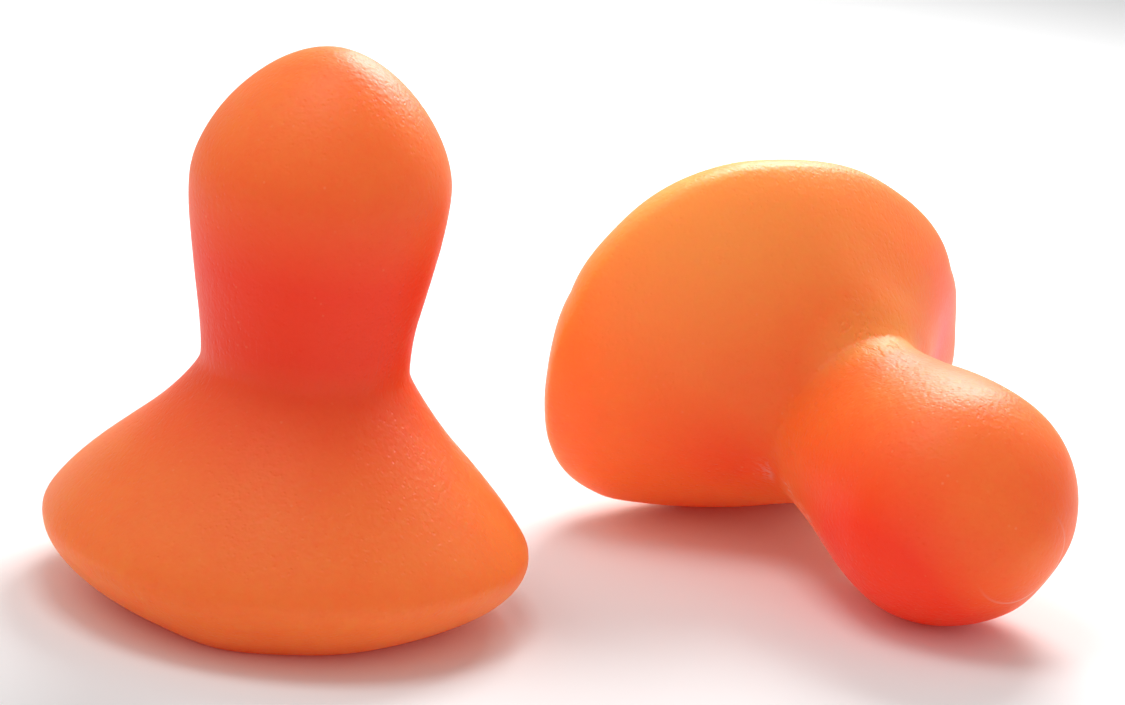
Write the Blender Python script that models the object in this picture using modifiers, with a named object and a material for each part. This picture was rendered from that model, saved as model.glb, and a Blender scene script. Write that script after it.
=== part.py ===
"""A pair of soft moulded ear plugs: one stands on its flare, the other lies beside it.

Each plug is a foam body with a bulbous head, a waist and a wide flare, moulded round a stiffer
stem that a fingertip pushes through a shallow recess underneath. Both plugs are the same
moulding. The lying one rests on its rim and its head, so its waist gives a little and its soft
flare spreads.

Run with: blender --background --python part.py
Lengths are metres, +Z is up, and the origin is on the ground under the middle of the pair.
"""

import math

import bpy
from mathutils import Matrix, Vector
from mathutils.geometry import interpolate_bezier

MM = 0.001
COLLECTION = "foam_ear_plugs"

# Foam body. Heights are measured from the flat land that the plug stands on.
HEAD_RADIUS = 5.75 * MM
HEAD_HEIGHT = 19.3 * MM
PLUG_LENGTH = 25.3 * MM
WAIST_RADIUS = 4.5 * MM
WAIST_HEIGHT = 11.0 * MM
RIM_RADIUS = 10.9 * MM
RIM_HEIGHT = 3.3 * MM
LAND_OUTER_RADIUS = 6.9 * MM
LAND_INNER_RADIUS = 5.3 * MM
RECESS_RADIUS = 5.0 * MM
RECESS_EDGE = 0.3 * MM
RECESS_DEPTH = 2.4 * MM

# How far the outline runs straight on before it starts to turn, at each of its widths.
TIP_PULL = 2.7 * MM
HEAD_PULL = 2.4 * MM
ABOVE_WAIST_PULL = 1.6 * MM
WAIST_PULL = 1.3 * MM
RIM_PULL = 1.3 * MM
LAND_PULL = 1.2 * MM
OUTLINE_POINTS = 9
FOAM_SEGMENTS = 40

# Stem: a disc for the fingertip, and a shaft whose round ribs grip the foam.
GAP = 0.3 * MM
DISC_RADIUS = 4.4 * MM
DISC_THICKNESS = 1.2 * MM
DISC_EDGE = 0.25 * MM
DISH_DEPTH = 0.3 * MM
SHAFT_RADIUS = 1.6 * MM
STEM_TOP = 16.0 * MM
RIB_RADIUS = 2.1 * MM
RIB_HALF_WIDTH = 1.0 * MM
RIB_HEIGHTS = (12.0 * MM, 9.0 * MM, 6.0 * MM)
NOSE_POINTS = 5
STEM_SEGMENTS = 24

# Lying plug: where the middle of its land is from the standing plug's axis, and how it lies.
LYING_PLACE = (18.55 * MM, 21.85 * MM)
LYING_YAW = math.radians(-50.9)
LYING_TILT = math.radians(16.9)
WAIST_BEND = math.radians(10.6)
WAIST_BEND_AXIS = math.radians(298.0)
BEND_BELOW_WAIST = 2.0 * MM
BEND_ABOVE_WAIST = 3.0 * MM
FLARE_OVALITY = 0.15
FLARE_OVAL_TURN = math.radians(66.5)
FLARE_SPREAD = 3.0 * MM
SPREAD_HEIGHT = 12.0 * MM
SPREAD_EDGE = 4.0 * MM
SINK = 0.35 * MM

FOAM_COLOUR = (0.86, 0.16, 0.035, 1.0)
STEM_COLOUR = (0.80, 0.79, 0.75, 1.0)


def clear_scene():
    for old in list(bpy.data.objects):
        bpy.data.objects.remove(old, do_unlink=True)


def make_material(name, colour, roughness):
    material = bpy.data.materials.new(name)
    material.use_nodes = True
    shader = material.node_tree.nodes["Principled BSDF"]
    shader.inputs["Base Color"].default_value = colour
    shader.inputs["Roughness"].default_value = roughness
    shader.inputs["Metallic"].default_value = 0.0
    material.diffuse_color = colour
    return material


def at(radius, height):
    """A point of a turned outline, which is drawn in the XZ plane."""
    return Vector((radius, 0.0, height))


def smooth_step(value):
    value = min(max(value, 0.0), 1.0)
    return value * value * (3.0 - 2.0 * value)


def outer_outline():
    """The foam's outer outline, from the tip down to the land: each knot has its width's pulls."""
    knots = (
        (at(0.0, PLUG_LENGTH), None, at(TIP_PULL, 0.0)),
        (at(HEAD_RADIUS, HEAD_HEIGHT), at(0.0, HEAD_PULL), at(0.0, -HEAD_PULL)),
        (at(WAIST_RADIUS, WAIST_HEIGHT), at(0.0, ABOVE_WAIST_PULL), at(0.0, -WAIST_PULL)),
        (at(RIM_RADIUS, RIM_HEIGHT), at(0.0, RIM_PULL), at(0.0, -RIM_PULL)),
        (at(LAND_OUTER_RADIUS, 0.0), at(LAND_PULL, 0.0), None),
    )
    outline = [knots[0][0]]
    for (start, _, leave), (end, arrive, _) in zip(knots, knots[1:]):
        stretch = interpolate_bezier(start, start + leave, end + arrive, end, OUTLINE_POINTS)
        outline.extend(stretch[1:])
    return outline


def shaft_outline(grow):
    """The stem's nose, shaft and ribs from the top down, set out by grow to make its bore."""
    radius = SHAFT_RADIUS + grow
    centre = STEM_TOP - SHAFT_RADIUS
    outline = []
    for step in range(NOSE_POINTS):
        turn = 0.5 * math.pi * step / (NOSE_POINTS - 1)
        outline.append(at(radius * math.sin(turn), centre + radius * math.cos(turn)))
    for height in RIB_HEIGHTS:
        outline.append(at(radius, height + RIB_HALF_WIDTH))
        outline.append(at(RIB_RADIUS + grow, height))
        outline.append(at(radius, height - RIB_HALF_WIDTH))
    return outline


def foam_outline():
    """The whole section of the foam, round the land and up through the recess into the bore."""
    outline = outer_outline()
    outline.append(at(LAND_INNER_RADIUS, 0.0))
    outline.append(at(RECESS_RADIUS, RECESS_EDGE))
    outline.append(at(RECESS_RADIUS, RECESS_DEPTH))
    outline.append(at(SHAFT_RADIUS + GAP, RECESS_DEPTH))
    outline.extend(reversed(shaft_outline(GAP)))
    return outline


def stem_outline():
    """The whole section of the stem, from its nose down and across the dished disc."""
    top = RECESS_DEPTH - GAP
    bottom = top - DISC_THICKNESS
    outline = shaft_outline(0.0)
    outline.append(at(SHAFT_RADIUS, top))
    outline.append(at(DISC_RADIUS - DISC_EDGE, top))
    outline.append(at(DISC_RADIUS, top - DISC_EDGE))
    outline.append(at(DISC_RADIUS, bottom + DISC_EDGE))
    outline.append(at(DISC_RADIUS - DISC_EDGE, bottom))
    outline.append(at(0.5 * DISC_RADIUS, bottom + 0.5 * DISH_DEPTH))
    outline.append(at(0.0, bottom + DISH_DEPTH))
    return outline


def make_turned(name, outline, segments, material, collection, parent):
    """A turned piece: its outline is spun once round Z by a Screw modifier."""
    mesh = bpy.data.meshes.new(name)
    edges = [(i, i + 1) for i in range(len(outline) - 1)]
    mesh.from_pydata(outline, edges, [])
    mesh.materials.append(material)
    piece = bpy.data.objects.new(name, mesh)
    collection.objects.link(piece)
    piece.parent = parent
    spin = piece.modifiers.new("turn", "SCREW")
    spin.axis = "Z"
    spin.angle = 2.0 * math.pi
    spin.steps = segments
    spin.render_steps = segments
    spin.use_merge_vertices = True
    spin.merge_threshold = 0.01 * MM
    spin.use_smooth_shade = True
    return piece


def make_plug(side, foam, plastic, collection, parent):
    """One plug in its own frame: +Z is its axis towards the tip, and its land is at Z = 0."""
    body = make_turned(
        side + "_foam_body", foam_outline(), FOAM_SEGMENTS, foam, collection, parent
    )
    stem = make_turned(
        side + "_insertion_stem", stem_outline(), STEM_SEGMENTS, plastic, collection, parent
    )
    return body, stem


def below_waist(height):
    """0 at the waist and above it, 1 at the rim and below it."""
    return min(max((WAIST_HEIGHT - height) / (WAIST_HEIGHT - RIM_HEIGHT), 0.0), 1.0)


def softness(radius):
    """0 where the stem's disc holds the foam round, 1 at the free edge of the flare."""
    return smooth_step((radius - RECESS_RADIUS) / (LAND_OUTER_RADIUS - RECESS_RADIUS))


def relaxed(point):
    """Where a point of the straight plug goes when the flare turns oval and the waist bends."""
    radius = math.hypot(point.x, point.y)
    oval = FLARE_OVALITY * below_waist(point.z) * softness(radius)
    turned = Matrix.Rotation(FLARE_OVAL_TURN, 3, "Z")
    squeeze = Matrix.Diagonal((1.0 + oval, 1.0 - oval, 1.0))
    point = turned @ squeeze @ turned.inverted() @ point
    foot = WAIST_HEIGHT - BEND_BELOW_WAIST
    share = smooth_step((point.z - foot) / (BEND_BELOW_WAIST + BEND_ABOVE_WAIST))
    axis = Vector((math.cos(WAIST_BEND_AXIS), math.sin(WAIST_BEND_AXIS), 0.0))
    pivot = at(0.0, foot + 0.5 * (BEND_BELOW_WAIST + BEND_ABOVE_WAIST))
    return pivot + Matrix.Rotation(WAIST_BEND * share, 3, axis) @ (point - pivot)


def spread(point, original, across):
    """How far a point near the ground moves sideways as the lying flare sags on it."""
    near_ground = max(1.0 - point.z / SPREAD_HEIGHT, 0.0)
    side = (point - Vector((*LYING_PLACE, 0.0))).dot(across)
    side = min(max(side / SPREAD_EDGE, -1.0), 1.0)
    soft = softness(math.hypot(original.x, original.y))
    return FLARE_SPREAD * side * near_ground * below_waist(original.z) * soft * across


def applied_mesh(piece):
    """The piece's mesh with its modifiers applied."""
    evaluated = piece.evaluated_get(bpy.context.evaluated_depsgraph_get())
    return bpy.data.meshes.new_from_object(evaluated)


def lay_down(body, stem, holder):
    """Lays a plug on the ground: its axis points along the yaw and dips by the tilt."""
    for piece in (body, stem):
        mesh = applied_mesh(piece)
        piece.modifiers.clear()
        piece.data = mesh
    originals = [vertex.co.copy() for vertex in body.data.vertices]
    for piece in (body, stem):
        for vertex in piece.data.vertices:
            vertex.co = relaxed(vertex.co)

    turn = Matrix.Rotation(LYING_YAW, 4, "Z") @ Matrix.Rotation(math.pi / 2 + LYING_TILT, 4, "Y")
    lowest = min((turn @ vertex.co).z for vertex in body.data.vertices)
    place = Matrix.Translation((*LYING_PLACE, -lowest - SINK)) @ turn
    across = Vector((-math.sin(LYING_YAW), math.cos(LYING_YAW), 0.0))
    for vertex, original in zip(body.data.vertices, originals):
        point = place @ vertex.co
        point = point + spread(point, original, across)
        point.z = max(point.z, 0.0)
        vertex.co = place.inverted() @ point
    holder.matrix_local = place


def make_empty(name, collection, parent=None):
    empty = bpy.data.objects.new(name, None)
    empty.empty_display_size = 3 * MM
    collection.objects.link(empty)
    empty.parent = parent
    return empty


def centre_on_ground(pair, pieces):
    """Moves the pair so that the origin is on the ground under the middle of its box."""
    bpy.context.view_layer.update()
    points = []
    for piece in pieces:
        mesh = applied_mesh(piece)
        points.extend(piece.matrix_world @ vertex.co for vertex in mesh.vertices)
        bpy.data.meshes.remove(mesh)
    low = [min(point[i] for point in points) for i in range(3)]
    high = [max(point[i] for point in points) for i in range(3)]
    pair.location = (-0.5 * (low[0] + high[0]), -0.5 * (low[1] + high[1]), -low[2])


def main():
    clear_scene()
    collection = bpy.data.collections.new(COLLECTION)
    bpy.context.scene.collection.children.link(collection)
    foam = make_material("orange_foam", FOAM_COLOUR, 0.6)
    plastic = make_material("stem_plastic", STEM_COLOUR, 0.45)

    pair = make_empty("pair", collection)
    standing = make_empty("standing_plug", collection, pair)
    lying = make_empty("lying_plug", collection, pair)
    left = make_plug("left", foam, plastic, collection, standing)
    right = make_plug("right", foam, plastic, collection, lying)
    bpy.context.view_layer.update()
    lay_down(*right, lying)
    centre_on_ground(pair, left + right)
    print("pair moved by", [round(value / MM, 3) for value in pair.location], "mm")


main()
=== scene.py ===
"""A pair of soft moulded foam ear plugs, one standing on its flare and one lying beside it.

The frame holds two bodies, one for each plug, with plain solids on them. The foam bodies and
stems that are modelled here ride on the same bodies and replace those solids.
"""

import math

import bpy
from mathutils import Matrix, Vector, noise
from mathutils.geometry import interpolate_bezier


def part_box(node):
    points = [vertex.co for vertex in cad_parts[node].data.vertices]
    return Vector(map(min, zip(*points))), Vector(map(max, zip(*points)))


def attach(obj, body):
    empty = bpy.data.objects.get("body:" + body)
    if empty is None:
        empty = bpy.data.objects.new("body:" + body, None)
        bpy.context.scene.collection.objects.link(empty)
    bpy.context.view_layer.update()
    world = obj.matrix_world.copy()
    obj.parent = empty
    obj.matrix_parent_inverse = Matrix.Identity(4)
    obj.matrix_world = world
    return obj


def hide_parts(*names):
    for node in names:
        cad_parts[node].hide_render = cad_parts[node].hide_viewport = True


bl_info = {
    "name": "Foam ear plugs",
    "version": (1, 0, 0),
    "blender": (4, 5, 0),
    "location": "View3D > Sidebar > Ear plugs",
    "description": "Models a pair of soft moulded foam ear plugs and a small studio round them",
    "category": "Add Mesh",
}

MM = 0.001

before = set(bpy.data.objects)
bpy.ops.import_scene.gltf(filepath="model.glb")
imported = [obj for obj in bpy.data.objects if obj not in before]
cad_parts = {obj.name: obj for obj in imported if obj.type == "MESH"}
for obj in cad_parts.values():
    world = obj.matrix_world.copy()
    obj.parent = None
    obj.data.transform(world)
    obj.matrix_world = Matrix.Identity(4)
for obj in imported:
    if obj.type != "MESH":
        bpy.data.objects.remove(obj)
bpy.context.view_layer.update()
STANDING_LOW, STANDING_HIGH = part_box("left_foam_body")
STEM_LOW, STEM_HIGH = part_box("left_insertion_stem")

# The standing plug's axis meets the ground here, and all of the pair is placed from it.
STANDING_FOOT = Vector(
    (
        0.5 * (STANDING_LOW.x + STANDING_HIGH.x),
        0.5 * (STANDING_LOW.y + STANDING_HIGH.y),
        STANDING_LOW.z,
    )
)
RIM_RADIUS = 0.5 * (STANDING_HIGH.x - STANDING_LOW.x)
PLUG_LENGTH = STANDING_HIGH.z - STANDING_LOW.z
DISC_RADIUS = 0.5 * (STEM_HIGH.x - STEM_LOW.x)

# How finely the outlines are drawn and spun, before they are subdivided.
STRETCH_POINTS = 21
FOAM_STEPS = 96
STEM_STEPS = 48
NOSE_POINTS = 7
RIB_POINTS = 7
MERGE_DISTANCE = 0.002 * MM

# Radii of the rounded corners.
LAND_ROUND = 0.45 * MM
RECESS_ROUND = 0.5 * MM
STEM_ROOT_ROUND = 0.35 * MM
DISC_ROUND = 0.25 * MM
PIP_ROUND = 0.08 * MM

# The disc's underside, from its rim inwards, in shares of its radius: the dish starts at its
# edge, slopes to its floor, and has a small moulded pip in the middle.
DISH_EDGE = 0.85
DISH_SLOPE = 0.55
DISH_FLOOR = 0.28
PIP_FOOT = 0.16
PIP_SIDE = 0.15
PIP_TOP = 0.13

# Heights in the dish, in shares of its depth, and how flat its slope starts and ends.
SLOPE_HEIGHT = 0.8
PIP_HEIGHT = 0.35
DISH_EASE = 0.6 * MM

# Broad and fine swellings of the foam's skin: how wide they are, and how far they stand out.
BROAD_WIDTH = 9.0 * MM
BROAD_HEIGHT = 0.09 * MM
FINE_WIDTH = 2.6 * MM
FINE_HEIGHT = 0.018 * MM

# Moves the fine swellings against the broad ones, and the lying plug's against the standing one's.
FINE_SHIFT = Vector((7.0, 3.0, 5.0))
LYING_SHIFT = Vector((31.0 * MM, 0.0, 0.0))

# Within this share of the waist's radius there is only the bore, up to just above the stem.
BORE_SHARE = 0.6
BORE_TOP = STEM_HIGH.z + 1.0 * MM

# How wide the patterns in the foam's skin are, and how far apart its dots, specks and pores.
PATCH = 2.4 * MM
MOTTLE = 0.42 * MM
DOT_SPACING = 0.62 * MM
DOT_PATCH = 1.9 * MM
SPECK_SPACING = 5.2 * MM
STREAK = 0.16 * MM
PEEL = 0.24 * MM
PORE_SPACING = 0.30 * MM
CREASE = 0.34 * MM
RING_HALF_WIDTH = 0.09 * MM

# How deep or high the skin's relief is.
PEEL_DEPTH = 0.035 * MM
PORE_DEPTH = 0.02 * MM
CREASE_DEPTH = 0.06 * MM
SCUFF_HEIGHT = 0.04 * MM

# Streaks and creases are drawn out along the plug, and the tip's ring is the same at any height.
DRAWN_OUT = (1.0, 1.0, 0.28)
ACROSS_ONLY = (1.0, 1.0, 0.0)

# How far red, green and blue light travel inside the foam, in shares of the glow depth, and
# inside the stem, in shares of its own depth.
FOAM_SCATTER = (1.0, 0.2, 0.1)
STEM_SCATTER = (1.0, 0.9, 0.7)
STEM_SCATTER_DEPTH = 0.8 * MM

# The stem's faint clouds and fine grain, and the floor's clouds.
STEM_CLOUD = 1.6 * MM
STEM_GRAIN = 0.12 * MM
STEM_GRAIN_DEPTH = 0.008 * MM
FLOOR_CLOUD = 60.0 * MM

# The studio's lights: the name, the offset from the middle of the view and the size in
# millimetres, and the setting that holds the power. They are square and face the middle.
LIGHTS = (
    ("back", (26.0, 93.0, 75.0), 60.0, "back_power"),
    ("top", (-21.0, -10.0, 109.0), 50.0, "top_power"),
    ("side", (-225.0, 0.0, 268.0), 250.0, "side_power"),
)
FLOOR_WIDTH = 6.0
SENSOR_WIDTH = 36.0
CLIP_START = 10.0 * MM
WHITE = (1.0, 1.0, 1.0, 1.0)


def length(name, description, millimetres):
    """A property that holds a length."""
    return bpy.props.FloatProperty(
        name=name, description=description, default=millimetres * MM, unit="LENGTH", precision=4
    )


def angle(name, description, degrees):
    """A property that holds an angle."""
    return bpy.props.FloatProperty(
        name=name, description=description, default=math.radians(degrees), subtype="ANGLE"
    )


def share(name, description, value):
    """A property that holds a plain number."""
    return bpy.props.FloatProperty(name=name, description=description, default=value, precision=3)


def colour(name, description, value):
    """A property that holds a linear colour."""
    return bpy.props.FloatVectorProperty(
        name=name, description=description, default=value, size=3, subtype="COLOR", min=0, max=1
    )


class FoamShape(bpy.types.PropertyGroup):
    """Sizes of the foam body, with heights measured from the land that it stands on."""

    head_radius: length("Head radius", "Half the width of the bulbous head", 5.75)
    head_height: length("Head height", "Height of the head's widest ring", 19.3)
    waist_radius: length("Waist radius", "Half the width of the narrow waist", 4.5)
    waist_height: length("Waist height", "Height of the narrowest ring", 11.0)
    rim_height: length("Rim height", "Height of the flare's widest ring", 3.3)
    land_outer: length("Land outer radius", "Outside of the flat ring that it stands on", 6.9)
    land_inner: length("Land inner radius", "Inside of the flat ring that it stands on", 5.3)
    recess_radius: length("Recess radius", "Radius of the fingertip recess underneath", 5.0)
    recess_depth: length("Recess depth", "Depth of the fingertip recess", 2.4)
    tip_pull: length("Tip fullness", "How flat the outline starts at the tip", 2.7)
    head_pull: length("Head fullness", "How straight the outline runs past the head", 2.4)
    above_waist_pull: length("Waist ease", "How straight it runs just above the waist", 1.6)
    edge_pull: length("Edge ease", "How straight it runs below the waist and at the rim", 1.3)
    land_pull: length("Land ease", "How flat the outline reaches the land", 1.2)


class StemShape(bpy.types.PropertyGroup):
    """Sizes of the stem that the foam is moulded round."""

    shaft_radius: length("Shaft radius", "Radius of the shaft between its ribs", 1.6)
    rib_radius: length("Rib radius", "Radius of the round ribs that grip the foam", 2.1)
    rib_half_width: length("Rib half width", "Half the width of a rib", 1.0)
    rib_spacing: length("Rib spacing", "Distance from rib to rib", 3.0)
    first_rib: length("First rib", "Height of the lowest rib", 6.0)
    ribs: bpy.props.IntProperty(name="Ribs", description="How many ribs there are", default=3)
    disc_thickness: length("Disc thickness", "Thickness of the disc for the fingertip", 1.2)
    dish_depth: length("Dish depth", "How far the disc is dished for the fingertip", 0.3)
    bond_gap: length("Bond gap", "Gap between the stem and the foam", 0.3)


class LyingShape(bpy.types.PropertyGroup):
    """How the second plug lies on its rim and head, and how its soft foam gives."""

    east: length("East", "Distance along X from the standing plug's axis", 18.55)
    north: length("North", "Distance along Y from the standing plug's axis", 21.85)
    yaw: angle("Yaw", "Direction that the lying plug's tip points, seen from above", -50.9)
    tilt: angle("Tilt", "How far the tip dips below level", 16.9)
    bend: angle("Waist bend", "How far the head leans at the waist", 10.6)
    bend_axis: angle("Bend axis", "Direction of the bend's axis round the plug", 298.0)
    bend_below: length("Bend start", "How far below the waist the bend starts", 2.0)
    bend_above: length("Bend end", "How far above the waist the bend ends", 3.0)
    oval: share("Oval", "How far the soft flare turns oval, as a share of its radius", 0.15)
    oval_turn: angle("Oval turn", "Direction of the oval's long axis round the plug", 66.5)
    spread: length("Spread", "How far the flare spreads along the ground", 3.0)
    spread_height: length("Spread height", "Height above the ground where it stops spreading", 12.0)
    spread_edge: length("Spread edge", "Distance from the middle where it spreads fully", 4.0)
    sink: length("Sink", "How far the soft foam is flattened on the ground", 0.35)


class Finish(bpy.types.PropertyGroup):
    """Colours and surface of the foam and the stem."""

    foam: colour("Foam", "Orange of the foam's skin", (0.94, 0.23, 0.036))
    foam_patch: colour("Foam patches", "Slightly redder patches in the skin", (0.94, 0.20, 0.031))
    # Painted shade: a deeper red-orange painted where shade falls.
    foam_painted_shade: colour("Dense foam", "Red-orange of the denser foam", (0.94, 0.052, 0.008))
    # Painted light: a yellower orange painted where light falls.
    foam_painted_light: colour("Thin foam", "Yellower orange where light comes through", (0.97, 0.43, 0.09))
    foam_pale: colour("Pale foam", "Pale orange of the small dots", (0.97, 0.36, 0.14))
    foam_rubbed: colour("Rubbed foam", "Pinkish white where the skin is scuffed", (0.97, 0.62, 0.52))
    foam_speck: colour("Foam speck", "Dull red of the few dark specks", (0.45, 0.06, 0.02))
    foam_roughness: share("Foam roughness", "Roughness of the foam's skin", 0.46)
    ring_radius: length("Ring radius", "Radius of the fine mould line round the tip", 2.35)
    # Painted glow: a weak red emission lifts the foam's red, though the foam is no lamp.
    glow: colour("Glow", "Red that the fluorescent pigment adds", (1.0, 0.03, 0.01))
    painted_glow_strength: share("Day glow", "Strength of the fluorescent pigment's red", 0.1)
    glow_depth: length("Glow depth", "How far red light travels inside the foam", 5.0)
    stem: colour("Stem", "Pale grey of the stem", (0.42, 0.42, 0.40))


class Studio(bpy.types.PropertyGroup):
    """Floor, lights and camera."""

    floor: colour("Floor", "Colour of the pale floor", (0.93, 0.93, 0.93))
    back_power: share("Back power", "Power of the small light behind, in watts", 0.15)
    top_power: share("Top power", "Power of the light over the standing plug, in watts", 0.034)
    side_power: share("Side power", "Power of the big light on the left, in watts", 0.10)
    surroundings: share("Surroundings", "Brightness of the white surroundings", 0.5)
    elevation: angle("Elevation", "How far the camera looks down", 16.47)
    roll: angle("Roll", "How far the camera is turned about its view", 6.57)
    distance: length("Distance", "Distance from the camera to the middle of the view", 242.9)
    target_east: length("Target east", "Middle of the view, along X from the standing axis", 11.31)
    target_north: length("Target north", "Middle of the view, along Y from the axis", 5.0)
    target_height: length("Target height", "Height of the middle of the view", 11.36)
    focal_length: share("Focal length", "Focal length of the lens in millimetres", 173.1)


# ---------------------------------------------------------------- modelling helpers


def at(radius, height):
    """A point of a turned outline, which is drawn in the XZ plane."""
    return Vector((radius, 0.0, height))


def smooth_step(value):
    """0 below 0, 1 above 1, and an even curve between them."""
    value = min(max(value, 0.0), 1.0)
    return value * value * (3.0 - 2.0 * value)


def select_only(piece):
    """Leaves one object selected and active, in object mode."""
    if bpy.context.object and bpy.context.object.mode != "OBJECT":
        bpy.ops.object.mode_set(mode="OBJECT")
    bpy.ops.object.select_all(action="DESELECT")
    piece.hide_set(False)
    piece.select_set(True)
    bpy.context.view_layer.objects.active = piece


def lathe(name, outline, steps):
    """Draws an outline point by point in edit mode and spins it once round Z."""
    bpy.ops.object.select_all(action="DESELECT")
    bpy.ops.mesh.primitive_plane_add(size=MM, location=outline[0])
    piece = bpy.context.object
    piece.name = name
    piece.data.name = name
    bpy.ops.object.transform_apply(location=True, rotation=False, scale=False)
    bpy.ops.object.mode_set(mode="EDIT")
    bpy.ops.mesh.select_all(action="SELECT")
    bpy.ops.mesh.merge(type="CENTER")
    for before, after in zip(outline, outline[1:]):
        bpy.ops.mesh.extrude_region_move(TRANSFORM_OT_translate={"value": after - before})
    bpy.ops.mesh.select_all(action="SELECT")
    bpy.ops.mesh.spin(steps=steps, angle=2.0 * math.pi, center=(0, 0, 0), axis=(0, 0, 1))
    bpy.ops.mesh.select_all(action="SELECT")
    bpy.ops.mesh.remove_doubles(threshold=MERGE_DISTANCE)
    bpy.ops.mesh.normals_make_consistent(inside=False)
    bpy.ops.object.mode_set(mode="OBJECT")
    return piece


def subdivide(piece, levels):
    """Applies a Subdivision Surface modifier and shades the piece smooth."""
    select_only(piece)
    rounder = piece.modifiers.new("round", "SUBSURF")
    rounder.levels = levels
    rounder.render_levels = levels
    bpy.ops.object.modifier_apply(modifier=rounder.name)
    bpy.ops.object.shade_smooth()


def copy_of(piece, name):
    """A copy of a piece with its own mesh."""
    select_only(piece)
    bpy.ops.object.duplicate(linked=False)
    copy = bpy.context.object
    copy.name = name
    copy.data.name = name
    return copy


def stretch(start, leave, arrive, end, points):
    """The points of one Bezier stretch of an outline after its first."""
    return interpolate_bezier(start, start + leave, end + arrive, end, points)[1:]


def corner(before, point, after, radius, points=4):
    """A rounded corner of an outline: an arc-like curve in place of a sharp point."""
    leave = (before - point).normalized() * radius
    arrive = (after - point).normalized() * radius
    ease = 0.55
    return interpolate_bezier(
        point + leave, point + leave * (1 - ease), point + arrive * (1 - ease), point + arrive, points
    )


# ---------------------------------------------------------------- outlines


def outer_outline(foam):
    """The foam's outer outline, from the tip down to the land."""
    tip = at(0.0, PLUG_LENGTH)
    head = at(foam.head_radius, foam.head_height)
    waist = at(foam.waist_radius, foam.waist_height)
    rim = at(RIM_RADIUS, foam.rim_height)
    land = at(foam.land_outer, 0.0)
    up = Vector((0.0, 0.0, 1.0))
    out = Vector((1.0, 0.0, 0.0))
    outline = [tip]
    outline += stretch(tip, out * foam.tip_pull, up * foam.head_pull, head, STRETCH_POINTS)
    outline += stretch(head, -up * foam.head_pull, up * foam.above_waist_pull, waist, STRETCH_POINTS)
    outline += stretch(waist, -up * foam.edge_pull, up * foam.edge_pull, rim, STRETCH_POINTS)
    outline += stretch(rim, -up * foam.edge_pull, out * foam.land_pull, land, STRETCH_POINTS)
    return outline


def shaft_outline(stem, grow):
    """The stem's nose, shaft and ribs from the top down, set out by grow to make its bore."""
    radius = stem.shaft_radius + grow
    centre = STEM_HIGH.z - stem.shaft_radius
    outline = []
    for step in range(NOSE_POINTS):
        turn = 0.5 * math.pi * step / (NOSE_POINTS - 1)
        outline.append(at(radius * math.sin(turn), centre + radius * math.cos(turn)))
    for rib in reversed(range(stem.ribs)):
        height = stem.first_rib + rib * stem.rib_spacing
        for step in range(RIB_POINTS):
            across = 2.0 * step / (RIB_POINTS - 1) - 1.0
            swell = (stem.rib_radius - stem.shaft_radius) * (1.0 - smooth_step(abs(across)))
            outline.append(at(radius + swell, height - across * stem.rib_half_width))
    return outline


def foam_outline(foam, stem):
    """The whole section of the foam, round the land and up through the recess into the bore."""
    outline = outer_outline(foam)
    wall = at(foam.recess_radius, 0.0)
    ceiling = at(foam.recess_radius, foam.recess_depth)
    mouth = at(stem.shaft_radius + stem.bond_gap, foam.recess_depth)
    middle = at(0.5 * (foam.land_outer + foam.land_inner), 0.0)
    outline.append(middle)
    outline += corner(middle, wall, ceiling, LAND_ROUND, points=6)
    outline += corner(wall, ceiling, mouth, RECESS_ROUND, points=5)
    outline.append(ceiling.lerp(mouth, 0.5))
    outline.append(mouth)
    outline += reversed(shaft_outline(stem, stem.bond_gap))
    return outline


def stem_outline(foam, stem):
    """The whole section of the stem, from its nose down and across the dished disc."""
    top = foam.recess_depth - stem.bond_gap
    bottom = top - stem.disc_thickness
    root = at(stem.shaft_radius, top)
    over = at(DISC_RADIUS, top)
    under = at(DISC_RADIUS, bottom)
    edge = at(DISH_EDGE * DISC_RADIUS, bottom)
    slope = at(DISH_SLOPE * DISC_RADIUS, bottom + SLOPE_HEIGHT * stem.dish_depth)
    floor = at(DISH_FLOOR * DISC_RADIUS, bottom + stem.dish_depth)
    pip_foot = at(PIP_FOOT * DISC_RADIUS, bottom + stem.dish_depth)
    pip_side = at(PIP_SIDE * DISC_RADIUS, bottom)
    pip_top = bottom + PIP_HEIGHT * stem.dish_depth
    inwards = at(-DISH_EASE, 0.0)
    outline = shaft_outline(stem, 0.0)
    outline += corner(outline[-1], root, over, STEM_ROOT_ROUND)
    outline += corner(root, over, under, DISC_ROUND)
    outline += corner(over, under, slope, DISC_ROUND)
    outline += stretch(edge, inwards, -inwards, slope, 4)
    outline.append(floor)
    outline += corner(floor, pip_foot, pip_side, PIP_ROUND)
    outline.append(at(PIP_TOP * DISC_RADIUS, pip_top))
    outline.append(at(0.0, pip_top))
    return outline


# ---------------------------------------------------------------- soft shape

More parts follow.
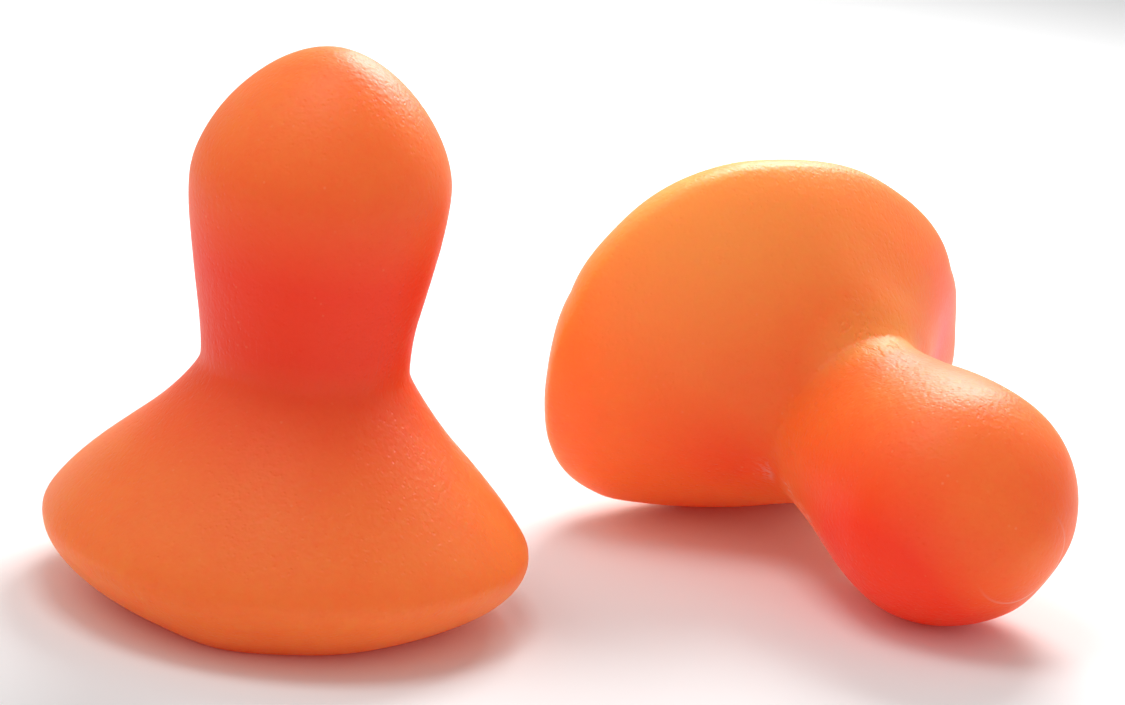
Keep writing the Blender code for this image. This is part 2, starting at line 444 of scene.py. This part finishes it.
# Dents that the soft foam keeps: the turn round the plug in degrees, the height and the reach
# in millimetres, and the depth in millimetres. A swelling has a negative depth.
LEFT_DENTS = (
    (-140.0, 2.6, 4.5, 0.13),
    (-168.0, 2.9, 4.0, 0.09),
    (-104.0, 0.6, 3.5, -0.20),
    (-80.0, 0.4, 3.0, -0.05),
    (-40.0, 1.2, 4.0, 0.13),
    (-12.0, 2.4, 3.0, -0.16),
    (14.0, 4.4, 2.5, 0.10),
    (4.0, 10.4, 3.2, -0.26),
    (167.0, 5.6, 4.0, -0.13),
    (165.0, 8.6, 2.5, 0.09),
    (178.0, 20.8, 3.5, 0.08),
    (-165.0, 23.6, 2.6, 0.10),
)
RIGHT_DENTS = (
    (93.0, 6.3, 4.2, 0.45),
    (132.0, 11.7, 3.0, 0.20),
    (-175.0, 10.4, 5.0, -0.45),
    (120.0, 3.7, 6.0, -0.25),
    (179.0, 2.3, 3.5, 0.10),
    (-103.0, 1.6, 4.0, -0.13),
    (-145.0, 1.7, 6.0, -0.06),
    (-74.0, 2.4, 4.2, 0.18),
    (-41.0, 3.1, 4.5, -0.21),
    (160.0, 16.5, 4.0, -0.10),
    (116.0, 21.8, 4.5, -0.15),
    (58.0, 23.5, 2.5, 0.14),
    (-39.0, 17.8, 4.0, -0.10),
)

# The turn reach of a mark that goes all round.
ALL_ROUND = 9999.0

# Nearer the axis than this, marks that face one way fade, so that none ends abruptly at the tip.
TIP_FADE = 4.6 * MM

# Marks in the skin: the kind, the turn and its reach in degrees, the height and its reach in
# millimetres, and the strength. Some are painted shade, darker where shade falls, and painted
# light, paler where light falls.
LEFT_MARKS = (
    # Painted shade all round the waist and under the head.
    ("dense", 0.0, ALL_ROUND, 14.0, 9.0, 1.1),
    ("creased", 0.0, ALL_ROUND, 12.0, 6.0, 0.25),
)
RIGHT_MARKS = (
    # Painted shade round the waist, over the head's side towards the ground and near its tip, by the
    # junction, and on the flare's edge by the fold, where it also dulls a reflection.
    ("dense", 0.0, ALL_ROUND, 13.0, 6.0, 0.2),
    ("dense", -35.0, 125.0, 20.5, 10.0, 1.6),
    ("dense", 100.0, 130.0, 24.5, 4.0, 0.6),
    ("dense", 100.0, 45.0, 6.5, 4.5, 1.0),
    ("dense", -60.0, 45.0, 9.5, 4.0, 0.6),
    # Painted light on the lying flare's face and in the fold between the flare and the waist.
    ("thin", -135.0, 95.0, 3.5, 8.0, 1.0),
    ("thin", -178.0, 65.0, 11.0, 3.2, 0.9),
    ("rubbed", -58.0, 13.0, 11.6, 1.8, 1.0),
    ("rubbed", -54.0, 11.0, 14.5, 3.6, 0.8),
    ("creased", 0.0, ALL_ROUND, 12.0, 6.0, 0.25),
    ("creased", -170.0, 45.0, 11.5, 4.5, 1.0),
    ("ringed", 45.0, 100.0, 24.5, 2.0, 2.7),
)


def uneven(point):
    """Slight swellings of the soft foam: how far the skin stands out at a point."""
    broad = noise.noise(point / BROAD_WIDTH)
    fine = noise.noise(point / FINE_WIDTH + FINE_SHIFT)
    return BROAD_HEIGHT * broad + FINE_HEIGHT * fine


def dent_at(point, dents):
    """How far the listed dents push the skin in at a point of the straight plug."""
    radius = math.hypot(point.x, point.y)
    turn = math.atan2(point.y, point.x)
    depth = 0.0
    for dent_turn, height, reach, deep in dents:
        apart = math.remainder(turn - math.radians(dent_turn), 2.0 * math.pi) * radius
        away = math.hypot(apart, point.z - height * MM) / (reach * MM)
        depth += deep * MM * (1.0 - smooth_step(away))
    return depth


def band(value, middle, half_width):
    """1 in the middle of a band and 0 past its edges."""
    return 1.0 - smooth_step(abs(value - middle) / half_width)


def mark_skin(piece, straight, marks):
    """Keeps at each vertex where it was on the straight plug, and how its skin is marked."""
    attributes = piece.data.attributes
    attributes.new("straight", "FLOAT_VECTOR", "POINT")
    # Two of these marks hold painted shade and painted light.
    names = ("dense", "thin", "rubbed", "creased", "ringed")
    for name in names:
        attributes.new(name, "FLOAT", "POINT")
    place = attributes["straight"].data
    layers = {name: attributes[name].data for name in names}
    for index, point in enumerate(straight):
        off_axis = max(math.hypot(point.x, point.y), TIP_FADE)
        place[index].vector = point
        values = {name: 0.0 for name in names}
        for name, mark_turn, turn_reach, mark_height, height_reach, strength in marks:
            toward = math.radians(mark_turn)
            facing = (point.x * math.cos(toward) + point.y * math.sin(toward)) / off_axis
            apart = math.degrees(math.acos(min(max(facing, -1.0), 1.0)))
            mark = strength * band(apart, 0.0, turn_reach)
            mark *= band(point.z / MM, mark_height, height_reach)
            values[name] = min(max(values[name], mark), 1.0)
        for name, value in values.items():
            layers[name][index].value = value


def below_waist(foam, height):
    """0 at the waist and above it, 1 at the rim and below it."""
    return min(max((foam.waist_height - height) / (foam.waist_height - foam.rim_height), 0.0), 1.0)


def softness(foam, radius):
    """0 where the stem's disc holds the foam round, 1 at the free edge of the flare."""
    return smooth_step((radius - foam.recess_radius) / (foam.land_outer - foam.recess_radius))


def relaxed(point, foam, lying):
    """Where a point of the straight plug goes when the flare turns oval and the waist bends."""
    radius = math.hypot(point.x, point.y)
    oval = lying.oval * below_waist(foam, point.z) * softness(foam, radius)
    turned = Matrix.Rotation(lying.oval_turn, 3, "Z")
    squeeze = Matrix.Diagonal((1.0 + oval, 1.0 - oval, 1.0))
    point = turned @ squeeze @ turned.inverted() @ point
    foot = foam.waist_height - lying.bend_below
    bent = smooth_step((point.z - foot) / (lying.bend_below + lying.bend_above))
    axis = Vector((math.cos(lying.bend_axis), math.sin(lying.bend_axis), 0.0))
    pivot = at(0.0, foot + 0.5 * (lying.bend_below + lying.bend_above))
    return pivot + Matrix.Rotation(lying.bend * bent, 3, axis) @ (point - pivot)


def is_outer(vertex, foam):
    """1 on the outer skin and 0 on the bore, above the recess."""
    past_bore = math.hypot(vertex.co.x, vertex.co.y) > BORE_SHARE * foam.waist_radius
    return 1.0 if past_bore or vertex.co.z > BORE_TOP else 0.0


def lying_turn(lying):
    """Turns the plug's axis along the yaw and dips it by the tilt."""
    yaw = Matrix.Rotation(lying.yaw, 3, "Z")
    return yaw @ Matrix.Rotation(math.pi / 2 + lying.tilt, 3, "Y")


def lying_foot(lying, drop):
    """Where the middle of the lying plug's land is."""
    return STANDING_FOOT + Vector((lying.east, lying.north, drop))


def lay_foam(piece, foam, lying):
    """Bends, lays and flattens the foam, and gives the height that its middle ends at."""
    turn = lying_turn(lying)
    vertices = piece.data.vertices
    straight = [vertex.co.copy() for vertex in vertices]
    laid = [turn @ relaxed(point, foam, lying) for point in straight]
    drop = -min(point.z for point in laid) - lying.sink
    foot = lying_foot(lying, drop)
    across = Vector((-math.sin(lying.yaw), math.cos(lying.yaw), 0.0))
    for vertex, before, point in zip(vertices, straight, laid):
        near_ground = max(1.0 - (point.z + drop) / lying.spread_height, 0.0)
        side = min(max(point.dot(across) / lying.spread_edge, -1.0), 1.0)
        soft = below_waist(foam, before.z) * softness(foam, math.hypot(before.x, before.y))
        point = point + foot + lying.spread * side * near_ground * soft * across
        point.z = max(point.z, STANDING_FOOT.z)
        vertex.co = point
    return drop


# ---------------------------------------------------------------- materials


class Value:
    """A shader socket that adds Math nodes when it is used in an expression."""

    def __init__(self, graph, socket):
        self.graph = graph
        self.socket = socket

    def _math(self, operation, first, second=None):
        values = [first] if second is None else [first, second]
        return self.graph.add("ShaderNodeMath", {"operation": operation}, dict(enumerate(values)))

    def __add__(self, other):
        return self._math("ADD", self, other)

    def __radd__(self, other):
        return self._math("ADD", other, self)

    def __sub__(self, other):
        return self._math("SUBTRACT", self, other)

    def __rsub__(self, other):
        return self._math("SUBTRACT", other, self)

    def __mul__(self, other):
        return self._math("MULTIPLY", self, other)

    def __rmul__(self, other):
        return self._math("MULTIPLY", other, self)

    def __abs__(self):
        return self._math("ABSOLUTE", self)


class Graph:
    """A material's nodes. Every node is made by add."""

    def __init__(self, name):
        self.material = bpy.data.materials.new(name)
        self.material.use_nodes = True
        self.tree = self.material.node_tree
        self.tree.nodes.clear()

    def add(self, kind, settings=None, sockets=None, output=0):
        """Adds a node, sets its settings, then its sockets, and gives one of its outputs."""
        node = self.tree.nodes.new(kind)
        for name, value in (settings or {}).items():
            if name == "stops":
                self._set_stops(node.color_ramp, value)
            else:
                setattr(node, name, value)
        for name, value in (sockets or {}).items():
            socket = node.inputs[name]
            if isinstance(value, Value):
                self.tree.links.new(value.socket, socket)
            elif isinstance(value, tuple) and len(value) == 3 and socket.type == "RGBA":
                socket.default_value = (*value, 1.0)
            else:
                socket.default_value = value
        return Value(self, node.outputs[output]) if node.outputs else None

    @staticmethod
    def _set_stops(ramp, stops):
        while len(ramp.elements) < len(stops):
            ramp.elements.new(1.0)
        for element, (position, value) in zip(ramp.elements, stops):
            element.position = position
            element.color = (value, value, value, 1.0)

    def place(self, size=(1.0, 1.0, 1.0)):
        """Object coordinates, squeezed by size."""
        where = self.add("ShaderNodeTexCoord", output="Object")
        return self.add("ShaderNodeMapping", sockets={"Vector": where, "Scale": size})

    def along_plug(self, size):
        """Places on the straight plug, squeezed by size, so that a pattern follows its axis."""
        where = self.add("ShaderNodeAttribute", {"attribute_name": "straight"}, output="Vector")
        return self.add("ShaderNodeMapping", sockets={"Vector": where, "Scale": size})

    def moved(self, where, seed):
        """Coordinates moved aside by seed centimetres, so that patterns don't repeat each other."""
        aside = (10 * seed * MM, 10 * seed * MM, 10 * seed * MM)
        return self.add("ShaderNodeVectorMath", {"operation": "ADD"}, {0: where, 1: aside})

    def grain(self, where, feature, detail=2.0, roughness=0.5, seed=0.0):
        """Noise from 0 to 1 whose patches are about feature across."""
        return self.add(
            "ShaderNodeTexNoise",
            sockets={
                "Vector": self.moved(where, seed),
                "Scale": 1.0 / feature,
                "Detail": detail,
                "Roughness": roughness,
            },
        )

    def specks(self, where, feature, size, seed=0.0):
        """1 in scattered small dots that are about feature apart."""
        cells = self.add(
            "ShaderNodeTexVoronoi",
            sockets={"Vector": self.moved(where, seed), "Scale": 1.0 / feature},
        )
        return self.ramp(cells, [(0.0, 1.0), (size, 0.0)])

    def ramp(self, value, stops):
        """A number through a ramp of grey stops."""
        return self.add("ShaderNodeValToRGB", {"stops": stops}, {"Fac": value})

    def mix(self, factor, first, second):
        """A mix of two colours."""
        # A Mix node's sockets 0, 6 and 7 are its factor and colours, and its output 2 is a colour.
        return self.add(
            "ShaderNodeMix",
            {"data_type": "RGBA"},
            {0: factor, 6: first, 7: second},
            output=2,
        )

    def attribute(self, name):
        """A number that the piece keeps at each of its vertices."""
        return self.add("ShaderNodeAttribute", {"attribute_name": name}, output="Fac")

    def bump(self, height, distance, strength=1.0, normal=None):
        """A surface normal from a height, on top of another normal."""
        sockets = {"Height": height, "Distance": distance, "Strength": strength}
        if normal is not None:
            sockets["Normal"] = normal
        return self.add("ShaderNodeBump", sockets=sockets)

    def finish(self, **sockets):
        """The Principled surface, with spaces in its socket names written as underscores."""
        named = {name.replace("_", " "): value for name, value in sockets.items()}
        surface = self.add("ShaderNodeBsdfPrincipled", sockets=named)
        self.add("ShaderNodeOutputMaterial", sockets={"Surface": surface})
        return self.material


def foam_colour(graph, finish, where):
    """Orange with redder patches, painted light and painted shade, pale dots and a few dark specks.
    """
    patches = graph.grain(where, PATCH, detail=3.0, roughness=0.6)
    mottle = graph.grain(where, MOTTLE, detail=3.0, roughness=0.65, seed=3.0)
    skin = graph.mix(
        graph.ramp(patches * 0.5 + mottle * 0.5, [(0.38, 0.0), (0.62, 1.0)]),
        tuple(finish.foam_patch),
        tuple(finish.foam),
    )
    # Painted light, paler where light falls, and painted shade, darker where shade falls.
    skin = graph.mix(graph.attribute("thin"), skin, tuple(finish.foam_painted_light))
    skin = graph.mix(graph.attribute("dense"), skin, tuple(finish.foam_painted_shade))
    dots = graph.specks(where, DOT_SPACING, 0.14, seed=5.0)
    dotted = graph.ramp(graph.grain(where, DOT_PATCH, seed=9.0), [(0.48, 0.0), (0.66, 1.0)])
    skin = graph.mix(dots * dotted * 0.6, skin, tuple(finish.foam_pale))
    specks = graph.specks(where, SPECK_SPACING, 0.018, seed=23.0)
    return graph.mix(specks * 0.8, skin, tuple(finish.foam_speck)), mottle


def foam_scuff(graph, along):
    """1 on short scuffs that run along the plug, where its skin is rubbed."""
    streaks = graph.grain(along, STREAK, detail=2.0, roughness=0.6, seed=21.0)
    return graph.attribute("rubbed") * graph.ramp(streaks, [(0.46, 0.0), (0.58, 1.0)])


def mould_ring(graph, finish):
    """1 on the fine line that the mould leaves round the tip."""
    across = graph.along_plug(ACROSS_ONLY)
    off_axis = graph.add("ShaderNodeVectorMath", {"operation": "LENGTH"}, {0: across}, output="Value")
    off_ring = abs(off_axis - finish.ring_radius) * (1.0 / RING_HALF_WIDTH)
    return graph.attribute("ringed") * graph.ramp(off_ring, [(0.0, 1.0), (1.0, 0.0)])


def foam_relief(graph, where, along, raised):
    """The surface normal of finely pitted skin with creases, where raised is 1 on raised lines."""
    peel = graph.grain(where, PEEL, detail=1.0, seed=13.0)
    pores = graph.specks(where, PORE_SPACING, 0.30, seed=11.0)
    creases = graph.grain(along, CREASE, detail=2.0, roughness=0.55, seed=15.0)
    creases = graph.ramp(creases, [(0.36, 0.0), (0.47, 0.85), (0.6, 1.0)])
    normal = graph.bump(peel, PEEL_DEPTH)
    normal = graph.bump(1.0 - pores, PORE_DEPTH, normal=normal)
    normal = graph.bump(creases * graph.attribute("creased"), CREASE_DEPTH, normal=normal)
    return graph.bump(raised, SCUFF_HEIGHT, normal=normal)


def foam_material(finish):
    """Self-skinned foam: soft orange, slightly mottled, with fine pores, creases and scuffs."""
    graph = Graph("orange_foam")
    where = graph.place()
    along = graph.along_plug(DRAWN_OUT)
    skin, mottle = foam_colour(graph, finish, where)
    scuff = foam_scuff(graph, along)
    ring = mould_ring(graph, finish)
    skin = graph.mix(scuff, skin, tuple(finish.foam_rubbed))
    skin = graph.mix(ring * 0.8, skin, tuple(finish.foam_rubbed))
    return graph.finish(
        Base_Color=skin,
        Roughness=finish.foam_roughness - 0.06 + 0.12 * mottle + 0.2 * scuff,
        Normal=foam_relief(graph, where, along, scuff + ring),
        IOR=1.45,
        Specular_IOR_Level=0.38,
        Subsurface_Weight=1.0,
        Subsurface_Radius=FOAM_SCATTER,
        Subsurface_Scale=finish.glow_depth,
        # A weak red emission: painted glow, though the foam is no lamp.
        Emission_Color=tuple(finish.glow),
        Emission_Strength=finish.painted_glow_strength,
    )


def stem_material(finish):
    """Pale grey flexible plastic with a satin moulded surface."""
    graph = Graph("stem_plastic")
    where = graph.place()
    cloud = graph.grain(where, STEM_CLOUD, detail=2.0)
    grain = graph.grain(where, STEM_GRAIN, detail=1.0, seed=4.0)
    base = tuple(finish.stem)
    warm = (base[0] * 0.94, base[1] * 0.9, base[2] * 0.84)
    return graph.finish(
        Base_Color=graph.mix(graph.ramp(cloud, [(0.35, 0.0), (0.65, 1.0)]), base, warm),
        Roughness=0.36 + 0.14 * grain,
        Normal=graph.bump(grain, STEM_GRAIN_DEPTH),
        IOR=1.5,
        Subsurface_Weight=0.25,
        Subsurface_Radius=STEM_SCATTER,
        Subsurface_Scale=STEM_SCATTER_DEPTH,
    )


def floor_material(studio):
    """Plain pale matte floor."""
    graph = Graph("pale_floor")
    tone = graph.grain(graph.place(), FLOOR_CLOUD, detail=1.0)
    base = tuple(studio.floor)
    duller = tuple(0.985 * channel for channel in base)
    return graph.finish(Base_Color=graph.mix(tone, base, duller), Roughness=0.9)


# ---------------------------------------------------------------- operators


class EARPLUG_OT_foam(bpy.types.Operator):
    """Model the two foam bodies"""

    bl_idname = "earplug.foam"
    bl_label = "Foam bodies"

    def execute(self, context):
        scene = context.scene
        foam, lying = scene.foam_shape, scene.lying_shape
        left = lathe("left_foam", foam_outline(foam, scene.stem_shape), FOAM_STEPS)
        subdivide(left, 1)
        right = copy_of(left, "right_foam")
        straight = [vertex.co.copy() for vertex in left.data.vertices]
        for piece, shift, dents, marks in (
            (left, Vector(), LEFT_DENTS, LEFT_MARKS),
            (right, LYING_SHIFT, RIGHT_DENTS, RIGHT_MARKS),
        ):
            self.age(piece, foam, shift, dents)
            mark_skin(piece, straight, marks)
        for vertex in left.data.vertices:
            vertex.co.z = max(vertex.co.z, 0.0)
            vertex.co += STANDING_FOOT
        scene["lying_drop"] = lay_foam(right, foam, lying)
        material = foam_material(scene.finish)
        for piece, body in ((left, "left"), (right, "right")):
            piece.data.materials.append(material)
            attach(piece, body + "_plug")
            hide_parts(body + "_foam_body")
        return {"FINISHED"}

    @staticmethod
    def age(piece, foam, shift, dents):
        """Makes the outer skin slightly uneven, and dents it."""
        moves = []
        for vertex in piece.data.vertices:
            if vertex.co.z < foam.recess_depth:
                outside = softness(foam, math.hypot(vertex.co.x, vertex.co.y))
            else:
                outside = is_outer(vertex, foam)
            swell = uneven(vertex.co + shift) - dent_at(vertex.co, dents)
            moves.append(vertex.normal * swell * outside)
        for vertex, move in zip(piece.data.vertices, moves):
            vertex.co += move


class EARPLUG_OT_stems(bpy.types.Operator):
    """Model the two stems that the foam is moulded round"""

    bl_idname = "earplug.stems"
    bl_label = "Stems"

    def execute(self, context):
        scene = context.scene
        foam, lying = scene.foam_shape, scene.lying_shape
        left = lathe("left_stem", stem_outline(foam, scene.stem_shape), STEM_STEPS)
        subdivide(left, 1)
        right = copy_of(left, "right_stem")
        for vertex in left.data.vertices:
            vertex.co += STANDING_FOOT
        turn = lying_turn(lying)
        foot = lying_foot(lying, scene["lying_drop"])
        for vertex in right.data.vertices:
            vertex.co = foot + turn @ relaxed(vertex.co, foam, lying)
        material = stem_material(scene.finish)
        for piece, body in ((left, "left"), (right, "right")):
            piece.data.materials.append(material)
            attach(piece, body + "_plug")
            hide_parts(body + "_insertion_stem")
        return {"FINISHED"}


class EARPLUG_OT_stage(bpy.types.Operator):
    """Set up the floor, the lights and the camera"""

    bl_idname = "earplug.stage"
    bl_label = "Stage"

    def execute(self, context):
        scene = context.scene
        studio = scene.studio
        target = Vector((studio.target_east, studio.target_north, studio.target_height))
        middle = STANDING_FOOT + target
        bpy.ops.object.select_all(action="DESELECT")
        bpy.ops.mesh.primitive_plane_add(size=FLOOR_WIDTH, location=(0.0, 0.0, STANDING_FOOT.z))
        floor = context.object
        floor.name = "floor"
        floor.data.materials.append(floor_material(studio))

        for name, offset, size, power in LIGHTS:
            self.add_light(name, middle, Vector(offset) * MM, size * MM, getattr(studio, power))

        world = bpy.data.worlds.new("surroundings")
        world.use_nodes = True
        background = world.node_tree.nodes["Background"]
        background.inputs["Strength"].default_value = studio.surroundings
        background.inputs["Color"].default_value = WHITE
        scene.world = world
        scene.view_settings.view_transform = "Standard"

        toward = Vector((0.0, -math.cos(studio.elevation), math.sin(studio.elevation)))
        bpy.ops.object.camera_add(location=middle + studio.distance * toward)
        camera = context.object
        camera.name = "camera"
        turn = toward.to_track_quat("Z", "Y").to_matrix() @ Matrix.Rotation(studio.roll, 3, "Z")
        camera.rotation_euler = turn.to_euler()
        camera.data.sensor_width = SENSOR_WIDTH
        camera.data.lens = studio.focal_length
        camera.data.clip_start = CLIP_START
        scene.camera = camera
        return {"FINISHED"}

    @staticmethod
    def add_light(name, middle, offset, size, power):
        """Adds a square light that faces the middle of the view."""
        bpy.ops.object.light_add(type="AREA", location=middle + offset)
        light = bpy.context.object
        light.name = name
        light.data.shape = "SQUARE"
        light.data.size = size
        light.data.energy = power
        light.rotation_euler = offset.to_track_quat("Z", "Y").to_euler()


class EARPLUG_PT_panel(bpy.types.Panel):
    """Lists the pieces of the ear plugs"""

    bl_idname = "EARPLUG_PT_panel"
    bl_label = "Foam ear plugs"
    bl_space_type = "VIEW_3D"
    bl_region_type = "UI"
    bl_category = "Ear plugs"

    def draw(self, context):
        for operator in STEPS:
            self.layout.operator(operator.bl_idname)


STEPS = (EARPLUG_OT_foam, EARPLUG_OT_stems, EARPLUG_OT_stage)
GROUPS = {
    "foam_shape": FoamShape,
    "stem_shape": StemShape,
    "lying_shape": LyingShape,
    "finish": Finish,
    "studio": Studio,
}


def register():
    for name, group in GROUPS.items():
        bpy.utils.register_class(group)
        setattr(bpy.types.Scene, name, bpy.props.PointerProperty(type=group))
    for operator in STEPS:
        bpy.utils.register_class(operator)
    bpy.utils.register_class(EARPLUG_PT_panel)


def unregister():
    bpy.utils.unregister_class(EARPLUG_PT_panel)
    for operator in reversed(STEPS):
        bpy.utils.unregister_class(operator)
    for name, group in GROUPS.items():
        delattr(bpy.types.Scene, name)
        bpy.utils.unregister_class(group)


def main():
    register()
    bpy.ops.earplug.foam()
    bpy.ops.earplug.stems()
    bpy.ops.earplug.stage()


if __name__ == "__main__":
    main()
